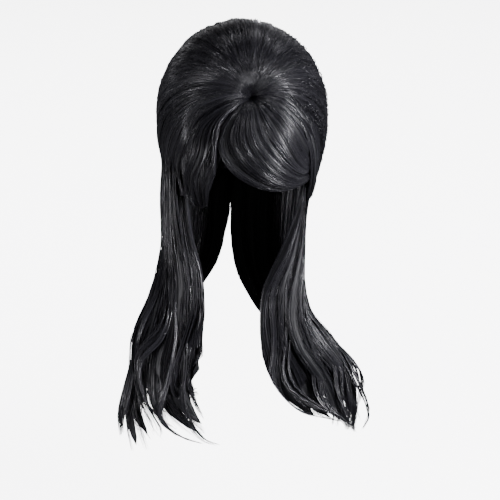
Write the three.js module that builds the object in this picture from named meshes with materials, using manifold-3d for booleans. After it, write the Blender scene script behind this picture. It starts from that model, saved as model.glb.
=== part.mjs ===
// A long beehive wig, worn on a head: a teased crown on a stretch cap with an elastic band,
// a fringe swept to one side, a sweep of hair over each temple and a long length over each shoulder.
// Millimetres, +Z up, the face towards -Y, so the wearer's left side is at +X.
// The origin is the top of the head, inside the cap.

import * as THREE from "three";
import { mergeVertices } from "three/addons/utils/BufferGeometryUtils.js";
import Module from "manifold-3d";

const wasm = await Module();
wasm.setup();

// The head that the cap fits
const headHalfWidth = 77;
const headHalfDepth = 97;
const headHalfHeight = 112;

// The cap, and the elastic band round its edge
const capWall = 1.5;
const bandWidth = 12;
const bandWall = 2;
const pieceGap = 0.3;

// The edge of the cap's net, seen from the side: how far back and how far down
const hairlineBack = -100;
const hairlineDrop = 48;
const templeBack = -45;
const templeDrop = 74;
const earFrontBack = -24;
const earFrontDrop = 108;
const earBack = 20;
const earDrop = 114;
const napeBack = 95;
const napeDrop = 152;

// The beehive: an upright egg, wider below, set back on the head
const beehiveTop = 64;
const beehiveAside = 2;
const beehiveBack = 30;
const beehiveHalfWidth = 97;
const beehiveHalfDepth = 93;
const beehiveRise = 107;
const beehiveFall = 160;
const hemCover = 4;

// The front hair: a rounder form over the forehead and temples
const frontMiddleBack = -10;
const frontMiddleDrop = 85;
const frontHalfWidth = 84;
const frontHalfDepth = 95;
const frontHalfHeight = 105;

// The whorl, where all the hair starts, and where it would meet again under the nape
const whorlBack = -54;
const whorlRise = 9;
const whorlDent = 7;
const whorlDentAngle = 15;
const hairMiddleBack = 10;
const hairMiddleDrop = 60;
const gatherDirection = new THREE.Vector3(0, 0.25, -0.97).normalize();

// How finely the round surfaces are divided
const formSides = 32;
const formRows = 20;
const crownSides = 42;
const crownRows = 18;
const edgeSteps = 20;

// The locks of the crown, the front and the long lengths
const crownLocks = 15;
const crownLockDepth = 1.8;
const crownTwist = 5;
const frontLocks = 5;
const frontLockThickness = 8;
const frontLockSink = 6;
const lengthLocks = 6;
const lengthLockThickness = 8;
const lengthDrop = 412;
const lengthDepth = 24;
const tipRoundness = 0.7;

// The parting at the nape, from which the back hair comes forward over both shoulders
const neckPartBack = 88;
const neckPartDrop = 140;
const neckRoundness = 20;
const neckCornerAngle = 56;

// Edges of the front hair, as turns to the wearer's left and rises over level, in degrees,
// seen from the hair's middle. Each row lies further from the whorl.
const fringeRows = [
  { innerTurn: 0, innerRise: 46, middleTurn: 0, middleRise: 46, outerTurn: 3, outerRise: 47 },
  { innerTurn: -14, innerRise: 34, middleTurn: 2, middleRise: 35, outerTurn: 14, outerRise: 43 },
  { innerTurn: -22, innerRise: 21, middleTurn: 3, middleRise: 26, outerTurn: 27, outerRise: 38 },
  { innerTurn: -24, innerRise: 8, middleTurn: 5, middleRise: 18, outerTurn: 36, outerRise: 31 },
  { innerTurn: -17, innerRise: -3, middleTurn: 8, middleRise: 10, outerTurn: 40, outerRise: 22 },
  { innerTurn: -7, innerRise: -10, middleTurn: 12, middleRise: 3, outerTurn: 43, outerRise: 13 },
  { innerTurn: 5, innerRise: -15, middleTurn: 18, middleRise: -4, outerTurn: 46, outerRise: 3 },
  { innerTurn: 19, innerRise: -18, middleTurn: 28, middleRise: -11, outerTurn: 48, outerRise: -7 },
  { innerTurn: 42, innerRise: -22, middleTurn: 43, middleRise: -19, outerTurn: 46, outerRise: -15 },
];

const rightTempleRows = [
  { innerTurn: -1, innerRise: 45, middleTurn: -2, middleRise: 46, outerTurn: -3, outerRise: 47 },
  { innerTurn: -12, innerRise: 37, middleTurn: -15, middleRise: 40, outerTurn: -23, outerRise: 48 },
  { innerTurn: -20, innerRise: 30, middleTurn: -27, middleRise: 33, outerTurn: -42, outerRise: 44 },
  { innerTurn: -24, innerRise: 22, middleTurn: -36, middleRise: 25, outerTurn: -57, outerRise: 35 },
  { innerTurn: -25, innerRise: 12, middleTurn: -42, middleRise: 15, outerTurn: -65, outerRise: 22 },
  { innerTurn: -25, innerRise: 3, middleTurn: -46, middleRise: 4, outerTurn: -71, outerRise: 7 },
  { innerTurn: -27, innerRise: -6, middleTurn: -49, middleRise: -8, outerTurn: -79, outerRise: -10 },
  { innerTurn: -30, innerRise: -15, middleTurn: -48, middleRise: -19, outerTurn: -80, outerRise: -24 },
  { innerTurn: -36, innerRise: -25, middleTurn: -46, middleRise: -29, outerTurn: -76, outerRise: -37 },
];

const leftTempleRows = [
  { innerTurn: 2, innerRise: 47, middleTurn: 2, middleRise: 47, outerTurn: 2, outerRise: 47 },
  { innerTurn: 15, innerRise: 43, middleTurn: 24, middleRise: 45, outerTurn: 33, outerRise: 46 },
  { innerTurn: 26, innerRise: 37, middleTurn: 37, middleRise: 40, outerTurn: 50, outerRise: 41 },
  { innerTurn: 32, innerRise: 29, middleTurn: 45, middleRise: 31, outerTurn: 60, outerRise: 33 },
  { innerTurn: 36, innerRise: 18, middleTurn: 51, middleRise: 20, outerTurn: 68, outerRise: 22 },
  { innerTurn: 38, innerRise: 7, middleTurn: 53, middleRise: 8, outerTurn: 72, outerRise: 9 },
  { innerTurn: 39, innerRise: -5, middleTurn: 52, middleRise: -5, outerTurn: 73, outerRise: -7 },
  { innerTurn: 38, innerRise: -18, middleTurn: 47, middleRise: -18, outerTurn: 66, outerRise: -20 },
  { innerTurn: 36, innerRise: -31, middleTurn: 41, middleRise: -32, outerTurn: 50, outerRise: -33 },
];

// Edges of the long lengths, from the ear down. Out and back are shares of the beehive's half
// width and the head's half depth, and drops are shares of the lengths' own drop.
const rightLengthRows = [
  { innerOut: 0.72, innerBack: -0.16, innerDrop: 0.23, middleOut: 0.78, middleBack: 0, middleDrop: 0.21,
    outerOut: 0.78, outerBack: 0.35, outerDrop: 0.2 },
  { innerOut: 0.7, innerBack: -0.21, innerDrop: 0.34, middleOut: 0.82, middleBack: -0.08, middleDrop: 0.35,
    outerOut: 0.86, outerBack: 0.26, outerDrop: 0.34 },
  { innerOut: 0.66, innerBack: -0.23, innerDrop: 0.43, middleOut: 0.83, middleBack: -0.17, middleDrop: 0.47,
    outerOut: 0.9, outerBack: 0.16, outerDrop: 0.46 },
  { innerOut: 0.58, innerBack: -0.29, innerDrop: 0.5, middleOut: 0.83, middleBack: -0.3, middleDrop: 0.58,
    outerOut: 1.01, outerBack: 0.03, outerDrop: 0.56 },
  { innerOut: 0.55, innerBack: -0.39, innerDrop: 0.57, middleOut: 0.92, middleBack: -0.48, middleDrop: 0.69,
    outerOut: 1.17, outerBack: -0.16, outerDrop: 0.65 },
  { innerOut: 0.57, innerBack: -0.5, innerDrop: 0.65, middleOut: 1.06, middleBack: -0.64, middleDrop: 0.79,
    outerOut: 1.35, outerBack: -0.36, outerDrop: 0.73 },
  { innerOut: 0.65, innerBack: -0.6, innerDrop: 0.72, middleOut: 1.01, middleBack: -0.72, middleDrop: 0.89,
    outerOut: 1.47, outerBack: -0.51, outerDrop: 0.83 },
  { innerOut: 0.79, innerBack: -0.66, innerDrop: 0.79, middleOut: 0.65, middleBack: -0.77, middleDrop: 0.97,
    outerOut: 1.52, outerBack: -0.6, outerDrop: 0.93 },
  { innerOut: 0.94, innerBack: -0.7, innerDrop: 0.86, middleOut: 0.22, middleBack: -0.8, middleDrop: 1.01,
    outerOut: 1.44, outerBack: -0.66, outerDrop: 1.03 },
];

const leftLengthRows = [
  { innerOut: 0.7, innerBack: -0.22, innerDrop: 0.24, middleOut: 0.74, middleBack: -0.05, middleDrop: 0.22,
    outerOut: 0.75, outerBack: 0.35, outerDrop: 0.2 },
  { innerOut: 0.62, innerBack: -0.3, innerDrop: 0.35, middleOut: 0.67, middleBack: -0.13, middleDrop: 0.35,
    outerOut: 0.7, outerBack: 0.27, outerDrop: 0.36 },
  { innerOut: 0.4, innerBack: -0.47, innerDrop: 0.46, middleOut: 0.6, middleBack: -0.28, middleDrop: 0.48,
    outerOut: 0.66, outerBack: 0.17, outerDrop: 0.49 },
  { innerOut: 0.16, innerBack: -0.58, innerDrop: 0.56, middleOut: 0.54, middleBack: -0.44, middleDrop: 0.57,
    outerOut: 0.65, outerBack: 0, outerDrop: 0.59 },
  { innerOut: 0.1, innerBack: -0.65, innerDrop: 0.66, middleOut: 0.52, middleBack: -0.55, middleDrop: 0.66,
    outerOut: 0.71, outerBack: -0.22, outerDrop: 0.68 },
  { innerOut: 0.12, innerBack: -0.71, innerDrop: 0.76, middleOut: 0.64, middleBack: -0.64, middleDrop: 0.75,
    outerOut: 0.98, outerBack: -0.39, outerDrop: 0.75 },
  { innerOut: 0.28, innerBack: -0.76, innerDrop: 0.85, middleOut: 0.86, middleBack: -0.69, middleDrop: 0.83,
    outerOut: 1.24, outerBack: -0.49, outerDrop: 0.84 },
  { innerOut: 0.57, innerBack: -0.79, innerDrop: 0.92, middleOut: 1.06, middleBack: -0.73, middleDrop: 0.92,
    outerOut: 1.33, outerBack: -0.58, outerDrop: 0.94 },
  { innerOut: 0.99, innerBack: -0.8, innerDrop: 0.96, middleOut: 1.22, middleBack: -0.76, middleDrop: 1,
    outerOut: 1.25, outerBack: -0.66, outerDrop: 1.04 },
];

// How much of the way round to the neck parting the back edge of a length still is, row by row
const backSpread = [1, 0.97, 0.8, 0.55, 0.3, 0.12, 0.02, 0, 0];

// Solids and meshes

function toSolid(geometry) {
  geometry.deleteAttribute("normal");
  geometry.deleteAttribute("uv");
  const merged = mergeVertices(geometry, 1e-4);
  return new wasm.Manifold(new wasm.Mesh({
    numProp: 3,
    vertProperties: new Float32Array(merged.getAttribute("position").array),
    triVerts: new Uint32Array(merged.getIndex().array),
  }));
}

function largestBody(solid) {
  const bodies = solid.decompose();
  bodies.sort((one, other) => other.volume() - one.volume());
  return bodies[0];
}

function toMesh(name, solid, material) {
  const cut = largestBody(solid).getMesh();
  const geometry = new THREE.BufferGeometry();
  geometry.setAttribute("position", new THREE.BufferAttribute(cut.vertProperties, cut.numProp));
  geometry.setIndex(new THREE.BufferAttribute(cut.triVerts, 1));
  geometry.computeVertexNormals();
  const mesh = new THREE.Mesh(geometry, material);
  mesh.name = name;
  return mesh;
}

// Forms: ellipsoids whose lower half may be deeper than the upper

const headForm = {
  middle: new THREE.Vector3(0, 0, -headHalfHeight),
  halfWidth: headHalfWidth,
  halfDepth: headHalfDepth,
  rise: headHalfHeight,
  fall: headHalfHeight,
};

const beehiveForm = {
  middle: new THREE.Vector3(beehiveAside, beehiveBack, beehiveTop - beehiveRise),
  halfWidth: beehiveHalfWidth,
  halfDepth: beehiveHalfDepth,
  rise: beehiveRise,
  fall: beehiveFall,
};

const frontForm = {
  middle: new THREE.Vector3(0, frontMiddleBack, -frontMiddleDrop),
  halfWidth: frontHalfWidth,
  halfDepth: frontHalfDepth,
  rise: frontHalfHeight,
  fall: frontHalfHeight,
};

const hairMiddle = new THREE.Vector3(0, hairMiddleBack, -hairMiddleDrop);

function halfReach(form, start, direction, halfHeight) {
  const scale = new THREE.Vector3(1 / form.halfWidth, 1 / form.halfDepth, 1 / halfHeight);
  const from = start.clone().sub(form.middle).multiply(scale);
  const way = direction.clone().multiply(scale);
  const a = way.dot(way);
  const b = from.dot(way);
  const c = from.dot(from) - 1;
  return (-b + Math.sqrt(Math.max(b * b - a * c, 0))) / a;
}

// How far a form's surface lies from a start inside it, along a direction
function reach(form, start, direction) {
  const above = halfReach(form, start, direction, form.rise);
  const hitHeight = start.z + direction.z * above;
  return hitHeight >= form.middle.z ? above : halfReach(form, start, direction, form.fall);
}

// The solid inside a form, grown by an amount all round
function formSolid(form, grown) {
  const geometry = new THREE.SphereGeometry(1, formSides, formRows);
  const position = geometry.getAttribute("position");
  const direction = new THREE.Vector3();
  for (let i = 0; i < position.count; i += 1) {
    direction.fromBufferAttribute(position, i);
    const height = direction.y >= 0 ? form.rise : form.fall;
    position.setXYZ(
      i,
      form.middle.x + direction.x * (form.halfWidth + grown),
      form.middle.y - direction.z * (form.halfDepth + grown),
      form.middle.z + direction.y * (height + grown),
    );
  }
  return toSolid(geometry);
}

// The space above the cap's edge, with the edge moved outwards by an amount
function spaceAboveEdge(moved) {
  const edge = new THREE.SplineCurve([
    new THREE.Vector2(hairlineBack, -hairlineDrop),
    new THREE.Vector2(templeBack, -templeDrop),
    new THREE.Vector2(earFrontBack, -earFrontDrop),
    new THREE.Vector2(earBack, -earDrop),
    new THREE.Vector2(napeBack, -napeDrop),
  ]);
  const farOut = 2 * (beehiveBack + beehiveHalfDepth);
  const shape = new THREE.Shape();
  shape.moveTo(-farOut, -hairlineDrop - moved);
  for (let step = 0; step <= edgeSteps; step += 1) {
    const point = edge.getPoint(step / edgeSteps);
    const along = edge.getTangent(step / edgeSteps);
    shape.lineTo(point.x + along.y * moved, point.y - along.x * moved);
  }
  shape.lineTo(farOut, -napeDrop - moved);
  shape.lineTo(farOut, farOut);
  shape.lineTo(-farOut, farOut);
  const geometry = new THREE.ExtrudeGeometry(shape, { depth: 2 * farOut, bevelEnabled: false, steps: 1 });
  geometry.translate(0, 0, -farOut);
  geometry.applyMatrix4(new THREE.Matrix4().makeBasis(
    new THREE.Vector3(0, 1, 0),
    new THREE.Vector3(0, 0, 1),
    new THREE.Vector3(1, 0, 0),
  ));
  return toSolid(geometry);
}

// The flow of the crown's hair: meridians that run from the whorl round to the gathering point

const whorlDirection = new THREE.Vector3(0, whorlBack, whorlRise).sub(hairMiddle).normalize();

// The two poles of a sphere's meridians are drawn together until they stand at the given directions
function poleShift(from, to) {
  const towards = from.clone().add(to).normalize();
  const apart = from.clone().sub(to).normalize();
  const side = new THREE.Vector3().crossVectors(apart, towards);
  const pull = Math.cos(from.angleTo(to) / 2);
  const squeeze = Math.sqrt(1 - pull * pull);
  return (local) => {
    const direction = new THREE.Vector3()
      .addScaledVector(side, local.x)
      .addScaledVector(apart, local.y)
      .addScaledVector(towards, local.z);
    const along = direction.dot(towards);
    return direction
      .multiplyScalar(squeeze)
      .addScaledVector(towards, along * (1 - squeeze) + pull)
      .divideScalar(1 + pull * along);
  };
}

function crownSolid(clearance) {
  const geometry = new THREE.SphereGeometry(1, crownSides, crownRows);
  const position = geometry.getAttribute("position");
  const local = new THREE.Vector3();
  const flow = poleShift(whorlDirection, gatherDirection);
  for (let i = 0; i < position.count; i += 1) {
    local.fromBufferAttribute(position, i);
    const turn = Math.atan2(local.z, local.x);
    const along = Math.acos(THREE.MathUtils.clamp(local.y, -1, 1)) / Math.PI;
    const direction = flow(local);
    const ridge = Math.sin(crownLocks * turn + crownTwist * along);
    const relief = crownLockDepth * ridge * Math.sin(Math.PI * along);
    const fromWhorl = THREE.MathUtils.radToDeg(direction.angleTo(whorlDirection));
    const dent = whorlDent * Math.exp(-((fromWhorl / whorlDentAngle) ** 2));
    const distance = reach(beehiveForm, hairMiddle, direction) + relief - dent + clearance;
    position.setXYZ(
      i,
      hairMiddle.x + direction.x * distance,
      hairMiddle.y + direction.y * distance,
      hairMiddle.z + direction.z * distance,
    );
  }
  const underCrown = formSolid(headForm, capWall + pieceGap - clearance);
  return toSolid(geometry)
    .intersect(spaceAboveEdge(bandWidth + hemCover + clearance))
    .subtract(underCrown);
}

// Sheets of hair: a point for each share across and each share along

function curveAt(points, share) {
  return new THREE.CatmullRomCurve3(points, false, "centripetal").getPoint(share);
}

function onFrontHair(turn, rise) {
  const turned = THREE.MathUtils.degToRad(turn);
  const raised = THREE.MathUtils.degToRad(rise);
  const direction = new THREE.Vector3(
    Math.sin(turned) * Math.cos(raised),
    -Math.cos(turned) * Math.cos(raised),
    Math.sin(raised),
  );
  const distance = Math.max(
    reach(frontForm, hairMiddle, direction),
    reach(beehiveForm, hairMiddle, direction),
  );
  return hairMiddle.clone().addScaledVector(direction, distance - frontLockSink);
}

function frontSheet(rows) {
  const inner = rows.map((row) => onFrontHair(row.innerTurn, row.innerRise));
  const middle = rows.map((row) => onFrontHair(row.middleTurn, row.middleRise));
  const outer = rows.map((row) => onFrontHair(row.outerTurn, row.outerRise));
  return (across, along) => curveAt(
    [curveAt(inner, along), curveAt(middle, along), curveAt(outer, along)],
    across,
  );
}

function lengthSheet(rows, side) {
  const place = (out, back, drop) => new THREE.Vector3(
    side * out * beehiveHalfWidth,
    back * headHalfDepth,
    -drop * lengthDrop,
  );
  const inner = rows.map((row) => place(row.innerOut, row.innerBack, row.innerDrop));
  const middle = rows.map((row) => place(row.middleOut, row.middleBack, row.middleDrop));
  const outer = rows.map((row) => place(row.outerOut, row.outerBack, row.outerDrop));
  const part = new THREE.Vector3(0, neckPartBack, -neckPartDrop);
  const toPart = part.clone().sub(outer[0]);
  const back = outer.map((point, row) => point.clone()
    .addScaledVector(toPart, backSpread[row])
    .add(new THREE.Vector3(-side, 1, 0).multiplyScalar((1 - backSpread[row]) * lengthDepth)));
  const cornerTurn = THREE.MathUtils.degToRad(neckCornerAngle);
  const outwards = new THREE.Vector3(side * Math.cos(cornerTurn), Math.sin(cornerTurn), 0);
  const corner = outer.map((point, row) => point.clone()
    .lerp(back[row], 0.5)
    .addScaledVector(outwards, neckRoundness * backSpread[row]));
  const guides = [inner, middle, outer, corner, back];
  return (across, along) => curveAt(guides.map((guide) => curveAt(guide, along)), across);
}

// One lock of a sheet: a flattened tube that narrows towards its root and its tip
function lockSolid(sheet, shape) {
  const geometry = new THREE.SphereGeometry(1, shape.sides, shape.rows);
  const position = geometry.getAttribute("position");
  const local = new THREE.Vector3();
  const step = 0.01;
  for (let i = 0; i < position.count; i += 1) {
    local.fromBufferAttribute(position, i);
    const along = Math.acos(THREE.MathUtils.clamp(local.y, -1, 1)) / Math.PI;
    const ring = Math.hypot(local.x, local.z);
    const sideways = ring > 1e-6 ? local.x / ring : 0;
    const outwards = ring > 1e-6 ? local.z / ring : 0;
    const point = sheet(shape.across, along);
    const before = sheet(shape.across, Math.max(along - step, 0));
    const after = sheet(shape.across, Math.min(along + step, 1));
    const down = after.sub(before).normalize();
    const reachAcross = sheet(shape.across + step, along)
      .sub(sheet(shape.across - step, along))
      .multiplyScalar(shape.halfShare / (2 * step));
    const halfWidth = Math.max(reachAcross.length(), shape.leastHalfWidth);
    const across = reachAcross.normalize();
    const out = new THREE.Vector3().crossVectors(down, across).normalize();
    const fromRoot = shape.rootFullness + along / shape.rootShare;
    const fromTip = ((1 - along) / shape.tipShare) ** tipRoundness;
    const full = ring > 1e-6 ? Math.max(Math.min(1, fromRoot, fromTip), 0.05) : 0;
    point.addScaledVector(across, sideways * (halfWidth * full + shape.clearance));
    point.addScaledVector(out, outwards * (shape.thickness * full + shape.clearance));
    if (ring <= 1e-6) {
      point.addScaledVector(down, -Math.sign(local.y) * shape.clearance);
    }
    position.setXYZ(i, point.x, point.y, point.z);
  }
  return toSolid(geometry);
}

function locksOfSheet(sheet, locks, shape) {
  let joined = null;
  for (let lock = 0; lock < locks; lock += 1) {
    const across = (lock + 0.5) / locks;
    const one = lockSolid(sheet, { ...shape, across, halfShare: shape.overlap / (2 * locks) });
    joined = joined ? joined.add(one) : one;
  }
  return joined;
}

const frontLock = {
  sides: 6, rows: 10, overlap: 1.9, thickness: frontLockThickness, leastHalfWidth: 3,
  rootFullness: 0.3, rootShare: 0.2, tipShare: 0.35,
};

const lengthLock = {
  sides: 6, rows: 12, overlap: 1.8, thickness: lengthLockThickness, leastHalfWidth: 4,
  rootFullness: 1, rootShare: 1, tipShare: 0.4,
};

const frontHair = (rows, clearance) => (
  locksOfSheet(frontSheet(rows), frontLocks, { ...frontLock, clearance })
);
const longHair = (rows, side, clearance) => (
  locksOfSheet(lengthSheet(rows, side), lengthLocks, { ...lengthLock, clearance })
);
const wearersRight = -1;
const wearersLeft = 1;

// Materials

const hair = new THREE.MeshStandardMaterial({ color: 0x15161a, roughness: 0.42, metalness: 0 });
const net = new THREE.MeshStandardMaterial({ color: 0x1b1b1e, roughness: 0.9, metalness: 0 });
const elastic = new THREE.MeshStandardMaterial({ color: 0x17171a, roughness: 0.75, metalness: 0 });

// The pieces

const head = formSolid(headForm, 0);
const capShell = formSolid(headForm, capWall).subtract(head);
const bandShell = formSolid(headForm, bandWall).subtract(head);
const overCap = formSolid(headForm, Math.max(capWall, bandWall) + pieceGap);

const cap = capShell.intersect(spaceAboveEdge(0));
const band = bandShell
  .intersect(spaceAboveEdge(bandWidth))
  .subtract(spaceAboveEdge(pieceGap));

const aroundBand = formSolid(headForm, bandWall + pieceGap).subtract(spaceAboveEdge(0));
const crown = crownSolid(0).subtract(aroundBand);
const aroundCrown = crownSolid(pieceGap);

const fringe = frontHair(fringeRows, 0)
  .subtract(aroundCrown)
  .subtract(overCap);
const aroundFringe = frontHair(fringeRows, pieceGap);

const rightTemple = frontHair(rightTempleRows, 0)
  .subtract(aroundCrown)
  .subtract(overCap)
  .subtract(aroundFringe);
const leftTemple = frontHair(leftTempleRows, 0)
  .subtract(aroundCrown)
  .subtract(overCap)
  .subtract(aroundFringe);

const rightLength = longHair(rightLengthRows, wearersRight, 0)
  .subtract(aroundCrown)
  .subtract(overCap)
  .subtract(frontHair(rightTempleRows, pieceGap));
const leftLength = longHair(leftLengthRows, wearersLeft, 0)
  .subtract(aroundCrown)
  .subtract(overCap)
  .subtract(frontHair(leftTempleRows, pieceGap))
  .subtract(longHair(rightLengthRows, wearersRight, pieceGap));

const wig = new THREE.Group();
wig.add(
  toMesh("cap", cap, net),
  toMesh("edge_band", band, elastic),
  toMesh("crown", crown, hair),
  toMesh("fringe", fringe, hair),
  toMesh("temple_sweep_right", rightTemple, hair),
  toMesh("temple_sweep_left", leftTemple, hair),
  toMesh("length_right", rightLength, hair),
  toMesh("length_left", leftLength, hair),
);

export default wig;
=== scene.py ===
import math

import bpy
import numpy as np
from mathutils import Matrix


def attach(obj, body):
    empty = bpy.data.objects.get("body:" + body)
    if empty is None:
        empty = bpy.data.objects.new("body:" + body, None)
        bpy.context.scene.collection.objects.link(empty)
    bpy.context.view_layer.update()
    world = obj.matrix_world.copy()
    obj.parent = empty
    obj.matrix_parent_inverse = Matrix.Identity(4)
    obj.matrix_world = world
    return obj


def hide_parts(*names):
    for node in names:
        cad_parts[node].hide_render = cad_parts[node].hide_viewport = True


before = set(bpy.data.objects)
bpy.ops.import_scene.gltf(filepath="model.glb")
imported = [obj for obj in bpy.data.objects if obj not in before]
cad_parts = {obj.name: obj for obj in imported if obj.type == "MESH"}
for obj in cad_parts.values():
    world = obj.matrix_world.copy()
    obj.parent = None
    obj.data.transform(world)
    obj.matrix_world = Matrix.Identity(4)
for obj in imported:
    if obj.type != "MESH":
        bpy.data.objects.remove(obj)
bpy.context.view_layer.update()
bpy.ops.object.select_all(action="DESELECT")


# The cap: a stretch net, hidden under the hair, to which rows of wefts are sewn.
# It shows only from below and through the opening in front, as matt black net
# with a stitched line along each weft.

class Value:
    """A socket whose arithmetic adds Math nodes."""

    def __init__(self, finish, socket):
        self.finish = finish
        self.socket = socket

    def math(self, operation, *others):
        return self.finish.add("ShaderNodeMath", {"operation": operation}, [self, *others])

    def __add__(self, other):
        return self.math("ADD", other)

    __radd__ = __add__

    def __mul__(self, other):
        return self.math("MULTIPLY", other)

    __rmul__ = __mul__

    def __sub__(self, other):
        return self.math("SUBTRACT", other)

    def __rsub__(self, other):
        return self * -1.0 + other

    def power(self, other):
        return self.math("POWER", other)

    def sine(self):
        return self.math("SINE")

    def clamped(self):
        return self.math("MAXIMUM", 0.0).math("MINIMUM", 1.0)


class Finish:
    """A material under construction, with its Principled shader."""

    def __init__(self, name, roughness, specular):
        self.material = bpy.data.materials.new(name)
        self.material.use_nodes = True
        self.tree = self.material.node_tree
        self.shader = self.tree.nodes["Principled BSDF"]
        self.shader.inputs["Roughness"].default_value = roughness
        self.shader.inputs["Specular IOR Level"].default_value = specular

    def add(self, kind, settings=None, inputs=(), output=0):
        node = self.tree.nodes.new(kind)
        for key, value in (settings or {}).items():
            setattr(node, key, value)
        places = inputs.items() if isinstance(inputs, dict) else enumerate(inputs)
        for key, value in places:
            self.put(node.inputs[key], value)
        return Value(self, node.outputs[output])

    def put(self, socket, value):
        if isinstance(value, Value):
            self.tree.links.new(value.socket, socket)
        else:
            socket.default_value = value

    def set(self, name, value):
        self.put(self.shader.inputs[name], value)

    def axes(self):
        places = self.add("ShaderNodeTexCoord", output="Object")
        return [self.add("ShaderNodeSeparateXYZ", inputs=[places], output=axis) for axis in range(3)]

    def lines(self, across, along, detail):
        """Noise drawn out along the hair, from the piece's own map."""
        hair_map = self.add("ShaderNodeUVMap", {"uv_map": "hair"})
        stretch = {"Vector": hair_map, "Scale": (across, along, 1.0)}
        drawn = self.add("ShaderNodeMapping", inputs=stretch)
        noise = {"Vector": drawn, "Scale": 1.0, "Detail": detail}
        return self.add("ShaderNodeTexNoise", inputs=noise)

    def blend(self, share, first, second):
        """A mix of two colours, which are a Mix node's inputs 6 and 7 and its output 2."""
        sockets = {"Factor": share, 6: first, 7: second}
        return self.add("ShaderNodeMix", {"data_type": "RGBA"}, sockets, output=2)

    def bump(self, height, distance, strength):
        self.set("Normal", self.add("ShaderNodeBump", inputs={
            "Height": height, "Distance": distance, "Strength": strength}))

    def wear_on(self, thing):
        thing.data.materials.clear()
        thing.data.materials.append(self.material)


net_colour = (0.005, 0.005, 0.006, 1.0)
net_thread_colour = (0.018, 0.018, 0.020, 1.0)
net_mesh_pitch = 0.0022
net_thread_sharpness = 2.0
net_thread_share = 0.7
net_thread_height = 0.5
weft_pitch = 0.014
weft_sharpness = 12.0
weft_height = 2.0

net = Finish("cap_net", roughness=0.85, specular=0.08)
net_x, net_y, net_z = net.axes()
net_turn = math.tau / net_mesh_pitch
net_weave = ((net_x + net_y + net_z) * net_turn).sine() * ((net_x - net_y + net_z) * net_turn).sine()
net_threads = (net_weave * 0.5 + 0.5).power(net_thread_sharpness)
weft_waves = (net_z * (math.tau / weft_pitch)).sine()
weft_lines = weft_waves.math("MAXIMUM", 0.0).power(weft_sharpness)
net_pattern = (net_threads * net_thread_share + weft_lines).clamped()
net.set("Base Color", net.blend(net_pattern, net_colour, net_thread_colour))
net_relief = net_threads * net_thread_height + weft_lines * weft_height
net.bump(net_relief, distance=0.0006, strength=0.6)
net.wear_on(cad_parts["cap"])


# The edge band: a woven elastic tape, 12 mm wide, that carries the net's edge round the hairline
# and the nape. It is ribbed across.

band_colour = (0.006, 0.006, 0.007, 1.0)
band_rib_colour = (0.018, 0.018, 0.021, 1.0)
band_rib_pitch = 0.0011

band = Finish("elastic_tape", roughness=0.7, specular=0.1)
band_x, band_y = band.axes()[:2]
band_ribs = ((band_x - band_y) * (math.tau / band_rib_pitch)).sine() * 0.5 + 0.5
band.set("Base Color", band.blend(band_ribs, band_colour, band_rib_colour))
band.bump(band_ribs, distance=0.0004, strength=0.7)
band.wear_on(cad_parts["edge_band"])


# The long lengths: the hair below the crown's hem, parted at the nape and brought forward on
# both sides. Each is a bundle of locks of smooth black synthetic fibre with a cool satin
# shine, straight at first and loosely waved below, that curls at its tips.

# Each strand has a shade of its own, and fine lines run along it. The lighter strands shine more.

fibre_dark = (0.0022, 0.0022, 0.0028, 1.0)
fibre_light = (0.0125, 0.0122, 0.0150, 1.0)
fibre_shade_share = 0.8
fibre_line_share = 0.3
fibre_roughness = 0.27
fibre_roughness_spread = 0.08
fibre_shine_contrast = 1.7
fibre_shine_roughness = 0.24

fibre = Finish("hair_fibre", fibre_roughness, specular=0.09)
fibre_shade = fibre.add("ShaderNodeAttribute", {"attribute_name": "shade"}, output="Fac")
fibre_lines = fibre.lines(across=9.0, along=5.0, detail=3.0)
fibre_tone = (fibre_shade * fibre_shade_share + fibre_lines * fibre_line_share).clamped()
fibre.set("Base Color", fibre.blend(fibre_tone, fibre_dark, fibre_light))
fibre.set("Roughness", fibre_lines * fibre_roughness_spread + fibre_roughness)
fibre.set("Coat Weight", fibre_shade.power(fibre_shine_contrast))
fibre.set("Coat Roughness", fibre_shine_roughness)
fibre.bump(fibre_lines, distance=0.00025, strength=0.5)

# Painted shade: the packed fibre is coloured darker than the strands, for the shade under and
# between them. Its fine lines and duller shine are the fibre's own.
packed_shaded_dark = (0.0012, 0.0012, 0.0015, 1.0)
packed_shaded_light = (0.0060, 0.0062, 0.0075, 1.0)
packed_roughness = 0.36
packed_roughness_spread = 0.16


def packed_shaded_finish(name, lines_across):
    """The same fibre where it is packed and duller, under the strands, coloured darker than them as
    painted shade under and between the strands.
    """
    finish = Finish(name, packed_roughness, specular=0.14)
    lines = finish.lines(lines_across, along=3.0, detail=4.0)
    finish.set("Base Color", finish.blend(lines, packed_shaded_dark, packed_shaded_light))
    finish.set("Roughness", lines * packed_roughness_spread + packed_roughness)
    finish.bump(lines, distance=0.0012, strength=0.8)
    return finish


# The lock masses under the strands wear the packed fibre, with its painted shade.
packed_shaded_locks = packed_shaded_finish("packed_shaded_locks", lines_across=30.0)

least_length = 1e-9


def unit(vectors):
    lengths = np.linalg.norm(vectors, axis=-1, keepdims=True)
    return vectors / np.maximum(lengths, least_length)


def eased(share, low, high):
    """0 below low, 1 above high and smooth between."""
    step = np.clip((share - low) / (high - low), 0.0, 1.0)
    return step * step * (3.0 - 2.0 * step)


# A strand's section is given in its own widths, across and outwards. The map step keeps the
# lines of one strand apart from the next one's.

strand_section = ((-0.5, -0.2), (0.5, -0.2), (0.0, 0.35))
strand_map_step = 1.37
wall_corners = 4


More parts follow.
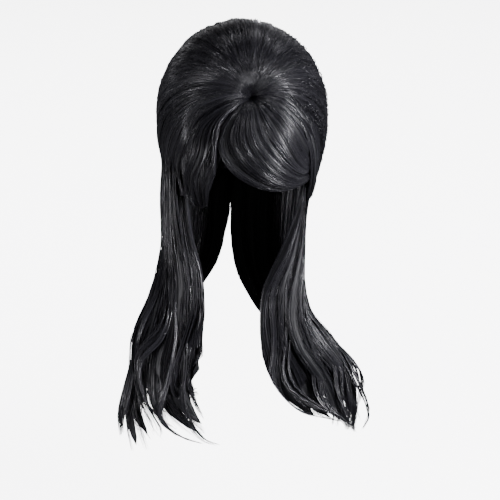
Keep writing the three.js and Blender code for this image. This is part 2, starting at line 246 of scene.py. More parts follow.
def strand_piece(name, paths, outs, widths, shades):
    """A piece of many strands: each a closed, flattened tube with flat ends along its path."""
    count, rings = paths.shape[:2]
    down = unit(np.gradient(paths, axis=1))
    across = unit(np.cross(down, outs))
    out = unit(np.cross(across, down))
    points = np.stack([
        paths + across * (sideways * widths)[..., None] + out * (outwards * widths)[..., None]
        for sideways, outwards in strand_section], axis=2).reshape(-1, 3)
    sides = len(strand_section)
    start = np.arange(count)[:, None, None] * rings * sides
    ring = np.arange(rings - 1)[None, :, None] * sides
    side = np.arange(sides)[None, None, :]
    beside = (side + 1) % sides
    walls = np.stack([
        start + ring + side, start + ring + sides + side,
        start + ring + sides + beside, start + ring + beside], axis=-1).reshape(-1, wall_corners)
    first_end = start[:, 0] + np.arange(sides)
    last_end = start[:, 0] + (rings - 1) * sides + np.arange(sides)[::-1]
    corner_list = np.concatenate([walls.ravel(), first_end.ravel(), last_end.ravel()])
    sizes = np.repeat([wall_corners, sides], [len(walls), 2 * count])

    mesh = bpy.data.meshes.new(name)
    mesh.vertices.add(len(points))
    mesh.vertices.foreach_set("co", points.ravel())
    mesh.loops.add(len(corner_list))
    mesh.loops.foreach_set("vertex_index", corner_list)
    mesh.polygons.add(len(sizes))
    mesh.polygons.foreach_set("loop_start", np.concatenate([[0], np.cumsum(sizes)[:-1]]))
    mesh.polygons.foreach_set("loop_total", sizes)
    mesh.polygons.foreach_set("use_smooth", sizes == wall_corners)
    shade = mesh.attributes.new("shade", "FLOAT", "POINT")
    shade.data.foreach_set("value", np.repeat(shades, rings * sides))
    strand, within = np.divmod(corner_list, rings * sides)
    round_strand = strand * strand_map_step + (within % sides) / sides
    down_strand = (within // sides) / (rings - 1.0)
    hair_map = np.stack([round_strand, down_strand], axis=-1)
    mesh.uv_layers.new(name="hair").data.foreach_set("uv", hair_map.ravel())
    mesh.update(calc_edges=True)
    piece = bpy.data.objects.new(name, mesh)
    bpy.context.scene.collection.objects.link(piece)
    fibre.wear_on(piece)
    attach(piece, "root")


def moved_ball(name, segments, rings, place):
    """A ball whose points go where place puts their turn round it and their share down it."""
    bpy.ops.mesh.primitive_uv_sphere_add(segments=segments, ring_count=rings, radius=1.0)
    ball = bpy.context.object
    ball.name = name
    points = np.empty(len(ball.data.vertices) * 3)
    ball.data.vertices.foreach_get("co", points)
    points = points.reshape(-1, 3)
    turn = np.arctan2(points[:, 1], points[:, 0])
    down = np.arccos(np.clip(points[:, 2], -1.0, 1.0)) / np.pi
    ball.data.vertices.foreach_set("co", place(turn, down).ravel())
    ball.data.uv_layers[0].name = "hair"
    return ball


def faced_outwards(thing):
    bpy.context.view_layer.objects.active = thing
    bpy.ops.object.select_all(action="DESELECT")
    thing.select_set(True)
    bpy.ops.object.mode_set(mode="EDIT")
    bpy.ops.mesh.select_all(action="SELECT")
    bpy.ops.mesh.remove_doubles(threshold=1e-6)
    bpy.ops.mesh.normals_make_consistent(inside=False)
    bpy.ops.object.mode_set(mode="OBJECT")


smoothed_edge_angle = math.radians(50)


def finished_mass(piece, finish, replaced):
    bpy.context.view_layer.objects.active = piece
    bpy.ops.object.select_all(action="DESELECT")
    piece.select_set(True)
    bpy.ops.object.shade_smooth_by_angle(angle=smoothed_edge_angle)
    bpy.ops.object.select_all(action="DESELECT")
    finish.wear_on(piece)
    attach(piece, "root")
    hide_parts(replaced)


def smooth_line(points, count):
    """Points on a smooth curve through the given ones, at even shares along it."""
    points = np.asarray(points, float)
    padded = np.concatenate([2 * points[:1] - points[1:2], points, 2 * points[-1:] - points[-2:-1]])
    place = np.linspace(0.0, len(points) - 1.0, count)
    index = np.minimum(place.astype(int), len(points) - 2)
    share = (place - index).reshape(-1, *[1] * (points.ndim - 1))
    before, start, end, after = (padded[index + step] for step in range(4))
    return 0.5 * (2 * start + (end - before) * share
                  + (2 * before - 5 * start + 4 * end - after) * share ** 2
                  + (3 * start - before - 3 * end + after) * share ** 3)


sheet_columns = 65
sheet_rows = 129


class Sheet:
    """A sheet of hair: a place and an outward direction for each share across and along it."""

    def __init__(self, guides, middle, level=False):
        rows = smooth_line(np.swapaxes(guides, 0, 1), sheet_rows)
        self.places = smooth_line(np.swapaxes(rows, 0, 1), sheet_columns)
        outs = unit(np.cross(np.gradient(self.places, axis=1), np.gradient(self.places, axis=0)))
        away = self.places - middle
        if level:
            away[..., 2] = 0.0
        self.outs = outs * np.sign((outs * away).sum(-1).mean())

    def at(self, table, across, along):
        column = np.clip(across, 0.0, 1.0) * (sheet_columns - 1)
        row = np.clip(along, 0.0, 1.0) * (sheet_rows - 1)
        i = np.minimum(column.astype(int), sheet_columns - 2)
        j = np.minimum(row.astype(int), sheet_rows - 2)
        u = (column - i)[..., None]
        v = (row - j)[..., None]
        return ((table[i, j] * (1 - u) + table[i + 1, j] * u) * (1 - v)
                + (table[i, j + 1] * (1 - u) + table[i + 1, j + 1] * u) * v)

    def place(self, across, along):
        return self.at(self.places, across, along)

    def out(self, across, along):
        return unit(self.at(self.outs, across, along))


hair_middle = np.array([0.0, 0.010, -0.060])
whorl = np.array([0.0, -0.054, 0.009])

# Locks and the wisps in them differ by these. Places along a lock are shares of its length, widths
# and reaches are shares of its own size, and turns are in radians.

lock_widths = (0.55, 1.45)
lock_ends = (0.91, 1.0)
lock_shades = (-0.2, 0.2)
lock_phase_scatter = 0.9
clump_start = 0.2
point_start = 0.75
point_finish = 1.05
wave_growth = 0.5
root_fullness = 0.25
full_from = 0.25
tip_thinning = 0.8
thinning_start = 0.45
body_reach = 0.8
body_squareness = 6
body_end = 0.98
body_taper = 0.35
body_taper_start = 0.8
wisps_in_lock = 10
wisp_turn_scatter = 0.2
wisp_twist = 0.4
strand_twist = 0.08
twist_start = 0.3
wisp_reaches = (0.76, 1.0)
strand_reaches = (-0.07, 0.07)
loose_strands = 0.04
loose_reaches = (1.05, 1.35)
root_crowding = 2.2
tip_unevenness = 0.12
tip_crowding = 1.5
shortest_strand = 0.2
root_reach = 0.85
reach_grown_by = 0.3
strand_shades = (2.0, 3.5)
wisp_shade_scatter = 0.18
outward_step = 0.1
middle_weight = 1e-5


class Locks:
    """The uneven, pointed locks that hair falls into, side by side across a sheet.

    They clump towards their tips, overlap and lift over each other, wave across the sheet and
    heave out of it past their straight share, and rise by their risen share to lie above it.
    """

    def __init__(self, sheet, seed, count, thickness, clump, overlap, lift, wave, waves,
                 ends=((0.0, 1.0), (1.0, 1.0)), heave=0.0, above=0.0, risen=0.3,
                 point_share=0.7, straight=0.3):
        self.sheet = sheet
        self.thickness = thickness
        self.clump = clump
        self.wave = wave
        self.waves = waves
        self.heave = heave
        self.risen = risen
        self.point_share = point_share
        self.straight = straight
        self.rng = rng = np.random.default_rng(seed)
        widths = rng.uniform(*lock_widths, count)
        edges = np.concatenate([[0.0], np.cumsum(widths)]) / widths.sum()
        self.middle = (edges[1:] + edges[:-1]) / 2
        self.half = np.diff(edges) / 2 * overlap
        self.end = np.interp(self.middle, *ends) * rng.uniform(*lock_ends, count)
        self.lift = above + rng.normal(0.0, lift, count)
        self.phase = rng.normal(rng.uniform(0.0, math.tau), lock_phase_scatter, count)
        self.shade = rng.uniform(*lock_shades, count)

    def point(self, lock, around, reach, along):
        """A point round a lock's section, at a share of its size, and along it."""
        down = along / self.end[lock]
        narrow = 1.0 - self.clump * eased(down, clump_start, 1.0)
        narrow = narrow * (1.0 - self.point_share * eased(down, point_start, point_finish))
        swing = math.tau * self.waves * down + self.phase[lock]
        waving = eased(down, self.straight, self.straight + wave_growth)
        across = self.middle[lock] + self.wave * waving * np.sin(swing)
        across = across + self.half[lock] * narrow * reach * np.cos(around)
        fullness = root_fullness + (1.0 - root_fullness) * eased(along, 0.0, full_from)
        fullness = fullness * (1.0 - tip_thinning * eased(down, thinning_start, 1.0))
        shift = self.lift[lock] * eased(along, 0.0, self.risen) + self.heave * waving * np.cos(swing)
        shift = shift + self.thickness * fullness * reach * np.sin(around)
        return self.sheet.place(across, along) + self.sheet.out(across, along) * shift[..., None]

    def mass(self, name, finish, replaced):
        bodies = []
        for lock in range(len(self.middle)):
            def place(turn, down, lock=lock):
                closing = (1.0 - np.abs(2.0 * down - 1.0) ** body_squareness) ** 0.5
                closing = closing * (1.0 - body_taper * eased(down, body_taper_start, 1.0))
                return self.point(lock, turn, body_reach * closing, down * self.end[lock] * body_end)
            body = moved_ball(f"{name}_{lock}", segments=14, rings=30, place=place)
            faced_outwards(body)
            bodies.append(body)
        for body in bodies:
            body.select_set(True)
        bpy.context.view_layer.objects.active = bodies[0]
        bpy.ops.object.join()
        bodies[0].name = name
        finished_mass(bodies[0], finish, replaced)

    def lines(self, count, samples, roots, facing):
        """Strand paths in wisps within the locks, with their outward directions and shades."""
        rng = self.rng
        lock = rng.choice(len(self.middle), count, p=self.half / self.half.sum())
        wisp = lock, rng.integers(0, wisps_in_lock, count)
        wisps = len(self.middle), wisps_in_lock
        around = rng.uniform(*facing, wisps)[wisp] + rng.normal(0.0, wisp_turn_scatter, count)
        twist = rng.normal(0.0, wisp_twist, wisps)[wisp] + rng.normal(0.0, strand_twist, count)
        reach = rng.uniform(*wisp_reaches, wisps)[wisp] + rng.uniform(*strand_reaches, count)
        loose = rng.random(count) < loose_strands
        reach = np.where(loose, rng.uniform(*loose_reaches, count), reach)
        root = roots[0] + (roots[1] - roots[0]) * rng.random(count) ** root_crowding
        tip = self.end[lock] * (1.0 - tip_unevenness * rng.random(count) ** tip_crowding)
        share = np.linspace(0.0, 1.0, samples)[None, :]
        run = np.maximum(tip, root + shortest_strand) - root
        along = root[:, None] + run[:, None] * share
        turned = around[:, None] + twist[:, None] * (share - twist_start)
        grown = root_reach + (1.0 - root_reach) * eased(share, 0.0, reach_grown_by)
        grown = reach[:, None] * grown
        paths = self.point(lock[:, None], turned, grown, along)
        away = self.point(lock[:, None], turned, grown + outward_step, along) - paths
        outs = unit(away + middle_weight * unit(paths - hair_middle))
        shades = rng.beta(*strand_shades, count) + self.shade[lock]
        shades = np.clip(shades + rng.normal(0.0, wisp_shade_scatter, wisps)[wisp], 0.0, 1.0)
        return paths, outs, shades

    def strands(self, name, count, rings, roots, facing):
        paths, outs, shades = self.lines(count, rings, roots, facing)
        strand_piece(name, paths, outs, strand_widths(self.rng, paths), shades)


strand_width_range = (0.0007, 0.0012)
strand_root_taper = (-0.02, 0.12)
strand_tip_taper = (0.75, 1.02)
strand_tip_thinning = 0.8
crowded_width = 0.35
crowded_within = 0.045


def strand_widths(rng, paths):
    """Widths that taper to the tips, and are finer near the whorl where strands crowd."""
    count, rings = paths.shape[:2]
    share = np.linspace(0.0, 1.0, rings)[None, :]
    taper = eased(share, *strand_root_taper)
    taper = taper * (1.0 - strand_tip_thinning * eased(share, *strand_tip_taper))
    distance = np.linalg.norm(paths - whorl, axis=-1)
    crowded = crowded_width + (1.0 - crowded_width) * eased(distance, 0.0, crowded_within)
    return rng.uniform(*strand_width_range, count)[:, None] * taper * crowded


# The edges run down each length from the hem. Out is a share of the crown's half width, back
# of the head's half depth, and drop of the lengths' own drop. The ends give how far down the
# locks reach, at shares from the inner edge round to the back.

beehive = {"middle": (0.002, 0.030, -0.043), "half_width": 0.097, "half_depth": 0.093,
           "rise": 0.107, "fall": 0.160}
head_half_width = 0.077
head_half_depth = 0.097
head_half_height = 0.112
length_drop = 0.412
length_depth = 0.024
length_thickness = 0.0065
neck_middle = np.array([0.0, 0.02, 0.0])
neck_part = np.array([0.0, 0.088, -0.140])
neck_roundness = 0.020
neck_corner_angle = math.radians(56)
back_spread = np.array([1, 0.97, 0.8, 0.55, 0.3, 0.12, 0.02, 0, 0])[:, None]
right_length_edges = {
    "inner_out": (0.72, 0.7, 0.66, 0.58, 0.55, 0.57, 0.65, 0.79, 0.94),
    "inner_back": (-0.16, -0.21, -0.23, -0.29, -0.39, -0.5, -0.6, -0.66, -0.7),
    "inner_drop": (0.23, 0.34, 0.43, 0.5, 0.57, 0.65, 0.72, 0.79, 0.86),
    "middle_out": (0.78, 0.82, 0.83, 0.83, 0.92, 1.06, 1.01, 0.65, 0.22),
    "middle_back": (0, -0.08, -0.17, -0.3, -0.48, -0.64, -0.72, -0.77, -0.8),
    "middle_drop": (0.21, 0.35, 0.47, 0.58, 0.69, 0.79, 0.89, 0.97, 1.01),
    "outer_out": (0.78, 0.86, 0.9, 1.01, 1.17, 1.35, 1.47, 1.52, 1.44),
    "outer_back": (0.35, 0.26, 0.16, 0.03, -0.16, -0.36, -0.51, -0.6, -0.66),
    "outer_drop": (0.2, 0.34, 0.46, 0.56, 0.65, 0.73, 0.83, 0.93, 1.03),
}
right_length_ends = (
    (0.0, 0.12, 0.25, 0.31, 0.42, 0.5, 0.75, 1.0),
    (0.97, 0.9, 1.0, 0.86, 0.88, 1.0, 0.94, 0.88),
)
left_length_edges = {
    "inner_out": (0.7, 0.62, 0.4, 0.16, 0.1, 0.12, 0.28, 0.57, 0.99),
    "inner_back": (-0.22, -0.3, -0.47, -0.58, -0.65, -0.71, -0.76, -0.79, -0.8),
    "inner_drop": (0.24, 0.35, 0.46, 0.56, 0.66, 0.76, 0.85, 0.92, 0.96),
    "middle_out": (0.74, 0.67, 0.6, 0.54, 0.52, 0.64, 0.86, 1.06, 1.22),
    "middle_back": (-0.05, -0.13, -0.28, -0.44, -0.55, -0.64, -0.69, -0.73, -0.76),
    "middle_drop": (0.22, 0.35, 0.48, 0.57, 0.66, 0.75, 0.83, 0.92, 1),
    "outer_out": (0.75, 0.7, 0.66, 0.65, 0.71, 0.98, 1.24, 1.33, 1.25),
    "outer_back": (0.35, 0.27, 0.17, 0, -0.22, -0.39, -0.49, -0.58, -0.66),
    "outer_drop": (0.2, 0.36, 0.49, 0.59, 0.68, 0.75, 0.84, 0.94, 1.04),
}
left_length_ends = ((0.0, 0.25, 0.5, 0.75, 1.0), (0.98, 1.0, 1.0, 0.99, 0.96))
all_round = (-math.pi, math.pi)


def length_sheet(edges, side):
    guides = []
    for edge in ("inner", "middle", "outer"):
        out, back, drop = (np.array(edges[edge + column]) for column in ("_out", "_back", "_drop"))
        guides.append(np.stack([side * out * beehive["half_width"], back * head_half_depth,
                                -drop * length_drop], axis=-1))
    outer = guides[2]
    inwards = np.array([-side, 1.0, 0.0]) * length_depth
    behind = outer + (neck_part - outer[0]) * back_spread + inwards * (1 - back_spread)
    outwards = np.array([side * math.cos(neck_corner_angle), math.sin(neck_corner_angle), 0.0])
    corner = (outer + behind) / 2 + outwards * neck_roundness * back_spread
    return Sheet(np.array([*guides, corner, behind]), neck_middle, level=True)


def long_length(name, sheet, ends, seed):
    """A thick bundle of locks, and thinner locks that lie loosely on top of it."""
    locks = Locks(sheet, seed, count=13, thickness=length_thickness, clump=0.1, overlap=2.2,
                  lift=0.0018, wave=0.036, waves=1.3, ends=ends, heave=0.005, point_share=0.35)
    locks.mass(name + "_locks", packed_shaded_locks, replaced=name)
    locks.strands(name + "_strands", count=1480, rings=14, roots=(0.0, 0.35), facing=all_round)
    top = Locks(sheet, seed + 1, count=11, thickness=0.0035, clump=0.2, overlap=0.8,
                lift=0.0012, wave=0.08, waves=1.6, ends=ends, heave=0.004, above=0.0075, risen=0.8)
    top.strands(name + "_top_locks", count=480, rings=18, roots=(0.1, 0.5), facing=all_round)


right_length = length_sheet(right_length_edges, side=-1)
left_length = length_sheet(left_length_edges, side=1)
long_length("length_right", right_length, right_length_ends, seed=31)
long_length("length_left", left_length, left_length_ends, seed=41)


# The crown: the teased beehive, an upright egg set back over the cap. All its hair starts at one
# whorl, high in front, and is combed back and down over the teasing. At the hem the strands run
# on over the lengths.

# The teasing under the crown's strands wears the packed fibre too, with its painted shade.
teased_hair = packed_shaded_finish("teased_hair", lines_across=260.0)

front_form = {"middle": (0.0, -0.010, -0.085), "half_width": 0.084, "half_depth": 0.095,
              "rise": 0.105, "fall": 0.105}
gathering = unit(np.array([0.0, 0.25, -0.97]))
whorl_direction = unit(whorl - hair_middle)
whorl_dent = 0.009
whorl_dent_angle = math.radians(9)
strand_layer = 0.0005
front_cover = 0.004
front_cover_side = 0.35
front_cover_start = 0.1


def half_reach(form, directions, half_height):
    """How far the ellipsoid with that half height reaches from the hair's middle."""
    scale = 1.0 / np.array([form["half_width"], form["half_depth"], half_height])
    start = (hair_middle - np.array(form["middle"])) * scale
    way = directions * scale
    a = (way * way).sum(-1)
    b = (way * start).sum(-1)
    c = (start * start).sum() - 1.0
    return (-b + np.sqrt(np.maximum(b * b - a * c, 0.0))) / a


def reach(form, directions):
    """How far the form's surface lies from the hair's middle."""
    above = half_reach(form, directions, form["rise"])
    is_above = hair_middle[2] + directions[..., 2] * above >= form["middle"][2]
    return np.where(is_above, above, half_reach(form, directions, form["fall"]))


def combed(turn, along):
    """Directions on lines that run from the whorl round the head to the gathering point."""
    forwards = unit(whorl_direction + gathering)
    apart = unit(whorl_direction - gathering)
    sideways = np.cross(apart, forwards)
    pull = float(whorl_direction @ forwards)
    sweep = np.pi * along
    line = ((np.cos(turn) * np.sin(sweep))[..., None] * sideways
            + np.cos(sweep)[..., None] * apart
            + (np.sin(turn) * np.sin(sweep))[..., None] * forwards)
    share = (line @ forwards)[..., None]
    squeeze = math.sqrt(1.0 - pull * pull)
    return (line * squeeze + forwards * (share * (1.0 - squeeze) + pull)) / (1.0 + pull * share)


def dent(directions):
    angle = np.arccos(np.clip(directions @ whorl_direction, -1.0, 1.0))
    return whorl_dent * np.exp(-(angle / whorl_dent_angle) ** 2)


def under_front(turn, along):
    """How far the crown lies lower where the front hair covers it."""
    in_front = eased(np.sin(turn), 0.0, front_cover_side)
    return front_cover * in_front * eased(along, 0.0, front_cover_start)


class Crown:
    """The crown's surface between two turns, as a sheet that starts at the whorl."""

    def __init__(self, first_turn, last_turn):
        self.turns = (math.radians(first_turn), math.radians(last_turn))

    def turn(self, across):
        return self.turns[0] + (self.turns[1] - self.turns[0]) * across

    def out(self, across, along):
        return combed(self.turn(across), along)

    def place(self, across, along):
        directions = self.out(across, along)
        distance = np.maximum(reach(beehive, directions), reach(front_form, directions))
        distance = distance - dent(directions) - under_front(self.turn(across), along) + strand_layer
        return hair_middle + directions * distance[..., None]


def teased_ball(turn, down):
    directions = combed(turn, down)
    distance = reach(beehive, directions) - dent(directions) - under_front(turn, down)
    return hair_middle + directions * distance[:, None]


def cut_away(piece, tool, operation):
    bpy.context.view_layer.objects.active = piece
    cut = piece.modifiers.new("cut", "BOOLEAN")
    cut.operation = operation
    cut.object = tool
    bpy.ops.object.modifier_apply(modifier=cut.name)
    bpy.data.objects.remove(tool)


# The hem is a line seen from the side: how far back each of its points is, and how high.

hem_back = (-0.150, -0.107, -0.055, -0.032, 0.0145, 0.088, 0.150)
hem_height = (-0.062, -0.062, -0.087, -0.122, -0.129, -0.166, -0.170)
head_clearance = 0.0024
beyond = 0.15

teased = moved_ball("crown_teased", segments=128, rings=72, place=teased_ball)
faced_outwards(teased)
bpy.ops.mesh.primitive_uv_sphere_add(segments=64, ring_count=40, radius=1.0)
head_room = bpy.context.object
head_halves = (head_half_width, head_half_depth, head_half_height)
head_room.scale = [half + head_clearance for half in head_halves]
head_room.location = (0.0, 0.0, -head_half_height)
hem_outline = [*zip(hem_back, hem_height), (beyond, beyond), (-beyond, beyond)]
hem_block = bpy.data.meshes.new("above_hem")
hem_corners = len(hem_outline)
hem_block.from_pydata(
    [(side * beyond, back, height) for side in (-1, 1) for back, height in hem_outline], [],
    [tuple(range(hem_corners)), tuple(range(hem_corners, 2 * hem_corners))]
    + [(i, (i + 1) % hem_corners, (i + 1) % hem_corners + hem_corners, i + hem_corners)
       for i in range(hem_corners)])
above_hem = bpy.data.objects.new("above_hem", hem_block)
bpy.context.scene.collection.objects.link(above_hem)
faced_outwards(above_hem)
cut_away(teased, above_hem, "INTERSECT")
cut_away(teased, head_room, "DIFFERENCE")
finished_mass(teased, teased_hair, replaced="crown")


# Runs and settling are shares of a length's drop, and drift is a share of its width. The strands
# settle on the length sooner on the left, which is at +X, than on the right.

tail_runs = (0.15, 1.0)
tail_run_crowding = 1.3
longest_tail = 0.36
tail_drift = 0.012
tail_height = 0.0008
tail_start_rows = 58
right_settling = 0.30
left_settling = 0.13


def run_on(points, rng, steps):
    """Strand tails, with their outward directions, from the given points down over the lengths."""
    count = len(points)
    tails = np.empty((count, steps, 6))
    run = rng.uniform(*tail_runs, count) ** tail_run_crowding * longest_tail
    drift = rng.normal(0.0, tail_drift, count)
    on_right = points[:, 0] < 0.0
    sides = ((right_length, on_right, right_settling), (left_length, ~on_right, left_settling))
    for sheet, chosen, settling in sides:
        table = sheet.places[:, :tail_start_rows]
        for index in np.flatnonzero(chosen):
            gaps = ((table - points[index]) ** 2).sum(-1)
            column, row = np.unravel_index(gaps.argmin(), gaps.shape)
            across = column / (sheet_columns - 1.0)
            along = row / (sheet_rows - 1.0)
            share = np.linspace(0.0, 1.0, steps + 1)[1:]
            lane = across + drift[index] * share
            start = sheet.place(np.array([across]), np.array([along]))[0]
            settled = eased(share, 0.0, min(1.0, settling / run[index]))[:, None]
            down = along + run[index] * share
            out = sheet.out(lane, down)
            over = out * (length_thickness + tail_height)
            joined = (points[index] - start) * (1.0 - settled) + over * settled
            tails[index, :, :3] = sheet.place(lane, down) + joined
            tails[index, :, 3:] = out
    return tails


def resampled(line, rings):
    """The line's places and directions, divided evenly by length into rings."""
    run = np.concatenate([[0.0], np.cumsum(np.linalg.norm(np.diff(line[:, :3], axis=0), axis=1))])
    shares = np.linspace(0.0, run[-1], rings)
    return np.stack([np.interp(shares, run, column) for column in line.T], axis=-1)


# Strands before the front edge stop at the front hem. The others leave the crown at the hem and
# run on. At the sides they leave it higher, by the side leave, which fades between two places.

crown_samples = 60
fewest_samples = 8
tail_steps = 12
crown_rings = 14
hem_unevenness = (-0.004, 0.006)
side_leave = 0.034
side_leave_back = (0.04, 0.09)
front_edge = -0.030
front_hem = -0.050
outer_half = (0.0, math.pi)


def crown_strands(name, first_turn, last_turn, locks, seed, count):
    bundle = Locks(Crown(first_turn, last_turn), seed, locks, thickness=0.0018, clump=0.3,
                   overlap=1.9, lift=0.0005, wave=0.009, waves=1.1, straight=0.05)
    lines, outs, shades = bundle.lines(count, crown_samples, roots=(0.0, 0.7), facing=outer_half)
    back = lines[..., 1]
    uneven = bundle.rng.uniform(*hem_unevenness, count)[:, None]
    hem = np.interp(back, hem_back, hem_height) + uneven
    hem = hem + side_leave * (1.0 - eased(back, *side_leave_back))
    below = lines[..., 2] < np.where(back < front_edge, front_hem, hem)
    kept = ~below[:, :fewest_samples].any(axis=1)
    lines, outs, shades, below = lines[kept], outs[kept], shades[kept], below[kept]
    count = len(lines)
    reaches_hem = below.any(axis=1)
    stops = np.where(reaches_hem, below.argmax(axis=1), crown_samples)
    last = lines[np.arange(count), stops - 1]
    tails = run_on(last, bundle.rng, tail_steps)
    strands = np.empty((count, crown_rings, 6))
    for index in range(count):
        line = np.concatenate([lines[index, :stops[index]], outs[index, :stops[index]]], axis=1)
        if reaches_hem[index] and last[index, 1] > front_edge:
            line = np.concatenate([line, tails[index]])
        strands[index] = resampled(line, crown_rings)
    paths = strands[..., :3]
    strand_piece(name, paths, unit(strands[..., 3:]), strand_widths(bundle.rng, paths), shades)


crown_strands("crown_strands_back", -135, -45, locks=16, seed=14, count=1900)
crown_strands("crown_strands_left", -48, 58, locks=17, seed=12, count=1250)
crown_strands("crown_strands_right", 228, 122, locks=17, seed=13, count=1250)

crimp_size = 0.0013
crimps = 3.0
crimped_lift = 0.0028
crimped_lifts = (0.3, 1.0)
crimped_rise = (-0.1, 0.3)
crimped_starts = (0.20, 0.52)
crimped_runs = (0.07, 0.13)
crimped_drift = 0.03
crimped_shades = (2.0, 2.5)


def crimped_strands(name, first_turn, last_turn, seed, count, rings):
    """Short, crimped strands that stand out of the teasing."""
    rng = np.random.default_rng(seed)
    sheet = Crown(first_turn, last_turn)
    share = np.linspace(0.0, 1.0, rings)[None, :]
    start_across = rng.uniform(0.0, 1.0, count)[:, None]
    across = start_across + rng.normal(0.0, crimped_drift, count)[:, None] * share
    start_along = rng.uniform(*crimped_starts, count)[:, None]
    along = start_along + rng.uniform(*crimped_runs, count)[:, None] * share
    phase = rng.uniform(0.0, math.tau, count)[:, None]
    swing = crimp_size * np.sin(math.tau * crimps * share + phase)
    tilt = rng.uniform(0.0, math.tau, count)[:, None]
    outs = sheet.out(across, along)
    paths = sheet.place(across, along)
    side = unit(np.cross(outs, np.gradient(paths, axis=1)))
    stand = crimped_lift * eased(share, *crimped_rise) * rng.uniform(*crimped_lifts, count)[:, None]
    outwards = (stand + swing * np.cos(tilt))[..., None]
    sideways = (swing * np.sin(tilt))[..., None]
    paths = paths + outs * outwards + side * sideways
    strand_piece(name, paths, outs, strand_widths(rng, paths), rng.beta(*crimped_shades, count))


crimped_strands("crown_crimped_strands", -62, 12, seed=14, count=300, rings=19)


# The front hair: a fringe swept from the whorl down across the front to the left, and a temple
# sweep on each side. Each is a sheet of locks between an inner and an outer edge, given as turns
# to the left and rises over level, in degrees, from the whorl down.

fringe_edges = {
    "inner_turn": (0, -14, -22, -24, -17, -7, 5, 19, 42, 64),
    "inner_rise": (46, 34, 21, 8, -3, -10, -15, -18, -22, -24),
    "middle_turn": (0, 2, 3, 5, 8, 12, 18, 28, 43, 68),
    "middle_rise": (46, 35, 26, 18, 10, 3, -4, -11, -16, -18),
    "outer_turn": (3, 14, 27, 36, 42, 48, 54, 60, 67, 74),
    "outer_rise": (47, 43, 38, 31, 22, 13, 4, -3, -8, -11),
}
right_temple_edges = {
    "inner_turn": (-1, -12, -20, -24, -25, -25, -26, -29, -32, -36),
    "inner_rise": (45, 37, 30, 22, 12, 3, -7, -18, -28, -33),
    "middle_turn": (-2, -15, -27, -36, -42, -46, -49, -50, -48, -44),
    "middle_rise": (46, 40, 33, 25, 15, 4, -8, -20, -31, -36),
    "outer_turn": (-3, -23, -42, -57, -65, -71, -79, -81, -79, -74),
    "outer_rise": (47, 48, 44, 35, 22, 7, -10, -22, -33, -41),
}
left_temple_edges = {
    "inner_turn": (2, 15, 26, 32, 36, 39, 41, 42, 43),
    "inner_rise": (47, 43, 37, 29, 18, 6, -9, -26, -42),
    "middle_turn": (2, 24, 37, 45, 51, 54, 56, 55, 54),
    "middle_rise": (47, 45, 40, 31, 20, 6, -11, -29, -47),
    "outer_turn": (2, 33, 50, 60, 68, 74, 80, 82, 80),
    "outer_rise": (47, 46, 41, 33, 22, 7, -12, -31, -50),
}
fringe_sinks = (0.0004, 0.0004, 0.0004)
right_temple_sinks = (0.0008, 0.0012, 0.0045)
left_temple_sinks = (0.0028, 0.0028, 0.0045)
tuck_start = 0.7
outer_side = (-0.25 * math.pi, 1.25 * math.pi)


def front_locks(name, edges, sinks, tuck, seed, locks, wave, waves, strands):
    """A sheet of front locks, whose ends go in under the hair beside it by the tuck."""
    guides = []
    for edge, sink in zip(("inner", "middle", "outer"), sinks):
        turn = np.radians(edges[edge + "_turn"])
        rise = np.radians(edges[edge + "_rise"])
        directions = np.stack([
            np.sin(turn) * np.cos(rise), -np.cos(turn) * np.cos(rise), np.sin(rise)], axis=-1)
        distance = np.maximum(reach(front_form, directions), reach(beehive, directions))
        sink = sink + tuck * eased(np.linspace(0.0, 1.0, len(turn)), tuck_start, 1.0)
        guides.append(hair_middle + directions * (distance - dent(directions) - sink)[:, None])
    bundle = Locks(Sheet(np.array(guides), hair_middle), seed, locks, thickness=0.0055, clump=0.2,
                   overlap=1.6, lift=0.0013, wave=wave, waves=waves, point_share=0.4, straight=0.1)
    bundle.mass(name + "_locks", packed_shaded_locks, replaced=name)
    bundle.strands(name + "_strands", strands, rings=14, roots=(0.0, 0.4), facing=outer_side)


front_locks("fringe", fringe_edges, fringe_sinks, tuck=0.010,
            seed=21, locks=9, wave=0.015, waves=1.2, strands=1350)
front_locks("temple_sweep_right", right_temple_edges, right_temple_sinks, tuck=0.0,
            seed=22, locks=8, wave=0.06, waves=2.0, strands=950)
front_locks("temple_sweep_left", left_temple_edges, left_temple_sinks, tuck=0.0,
            seed=23, locks=6, wave=0.02, waves=1.3, strands=600)


# The setting: a plain pale floor, soft studio lights and the camera at the photograph's angle,
# a little above the wig and to its right. The floor neither lights the hair nor shows in its
# shine, so that it doesn't grey the black.

floor_height = -0.62
floor_size = 30.0
floor_brightness = 5.0
white = (1.0, 1.0, 1.0, 1.0)

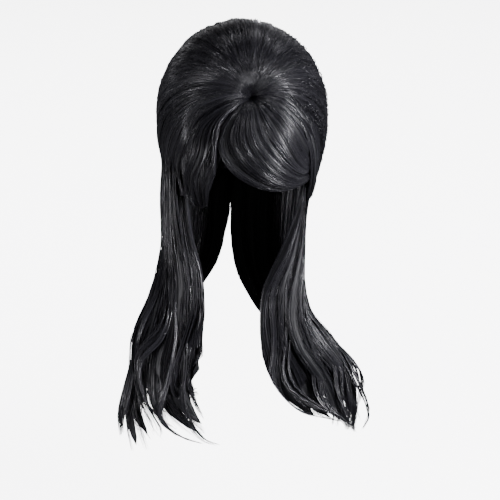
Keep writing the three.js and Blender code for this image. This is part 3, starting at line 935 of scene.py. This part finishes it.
bpy.ops.mesh.primitive_plane_add(size=floor_size, location=(0.0, 0.0, floor_height))
floor = bpy.context.object
floor.name = "floor"
pale = Finish("pale_floor", roughness=0.9, specular=0.1)
pale.set("Base Color", (0.9, 0.9, 0.9, 1.0))
pale.set("Emission Color", white)
pale.set("Emission Strength", floor_brightness)
pale.wear_on(floor)
floor.visible_diffuse = False
floor.visible_glossy = False

world_brightness = 0.2
world = bpy.data.worlds.new("studio")
bpy.context.scene.world = world
world.use_nodes = True
world.node_tree.nodes["Background"].inputs["Color"].default_value = white
world.node_tree.nodes["Background"].inputs["Strength"].default_value = world_brightness

cool_white = (0.96, 0.95, 1.0)
lamp_size = 0.6
wig_middle = (0.0, 0.0, -0.15)


def aimed(thing, place, aim):
    """Puts a lamp or the camera at its place and turns it to what it looks at."""
    east, north, up = (target - start for start, target in zip(place, aim))
    thing.location = place
    thing.rotation_euler = (math.atan2(math.hypot(east, north), -up), 0.0, math.atan2(-east, north))
    bpy.context.scene.collection.objects.link(thing)


def soft_light(name, place, power, width=lamp_size, height=lamp_size, aim=wig_middle):
    lamp = bpy.data.lights.new(name, "AREA")
    lamp.shape = "RECTANGLE"
    lamp.size = width
    lamp.size_y = height
    lamp.energy = power
    lamp.color = cool_white
    light = bpy.data.objects.new(name, lamp)
    light.visible_camera = False
    aimed(light, place, aim)


soft_light("key_light", (1.64, -1.37, 0.40), power=225.0)
soft_light("top_light", (0.615, -1.065, 1.72), power=28.0)
soft_light("crown_light", (0.615, 1.065, 1.72), power=22.0)
soft_light("fill_light", (-1.90, -1.10, -0.28), power=80.0)
soft_light("backdrop_light", (0.0, 1.5, 0.2), power=45.0,
           width=3.0, height=2.0, aim=(0.0, 1.5, floor_height))

camera_lens = 160.56
camera_sensor_width = 36.0
camera_place = (-0.3836, -2.3842, 0.7738)
camera_aim = (0.0060, -0.0052, -0.2002)

camera_data = bpy.data.cameras.new("photo_view")
camera_data.lens = camera_lens
camera_data.sensor_width = camera_sensor_width
camera = bpy.data.objects.new("photo_view", camera_data)
aimed(camera, camera_place, camera_aim)
bpy.context.scene.camera = camera
